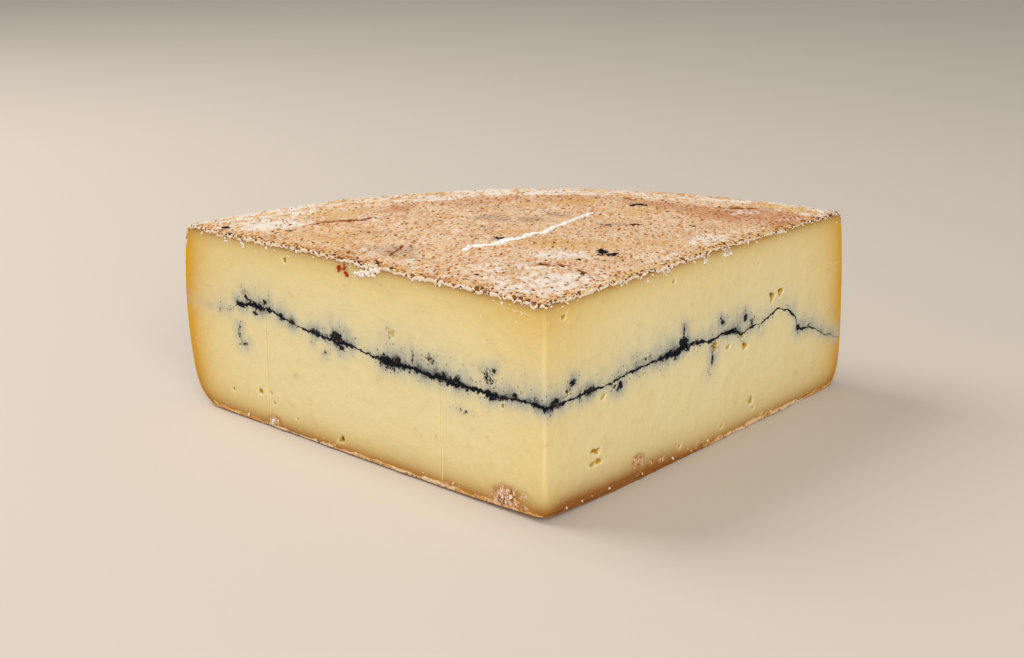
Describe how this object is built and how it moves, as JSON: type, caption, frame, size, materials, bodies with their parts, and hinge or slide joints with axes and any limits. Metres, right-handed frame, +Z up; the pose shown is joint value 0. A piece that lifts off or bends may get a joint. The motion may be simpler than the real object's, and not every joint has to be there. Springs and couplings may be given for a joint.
{
  "type": "morbier cheese",
  "caption": "Quarter-cut wheel of semi-soft cheese with flat cut faces, a bulging rind side and a thin dark ash layer through its middle.",
  "frame": {"origin": "middle of the bounding box at the level of the flat underside", "axes": "+Z up from the flat underside, +Y from the pointed front edge towards the middle of the rind side, +X to the right of that"},
  "size_m": [0.2474, 0.175, 0.0715],
  "materials": {
    "paste": "soft satin cut paste, pale ivory yellow, deeper towards the rind",
    "rind": "dry cloth-marked rind, cream and orange brown",
    "ash": "dull blue-black ash"
  },
  "bodies": {
    "root": {"paste": "paste", "ash_layer": "ash"}
  },
  "joints": []
}
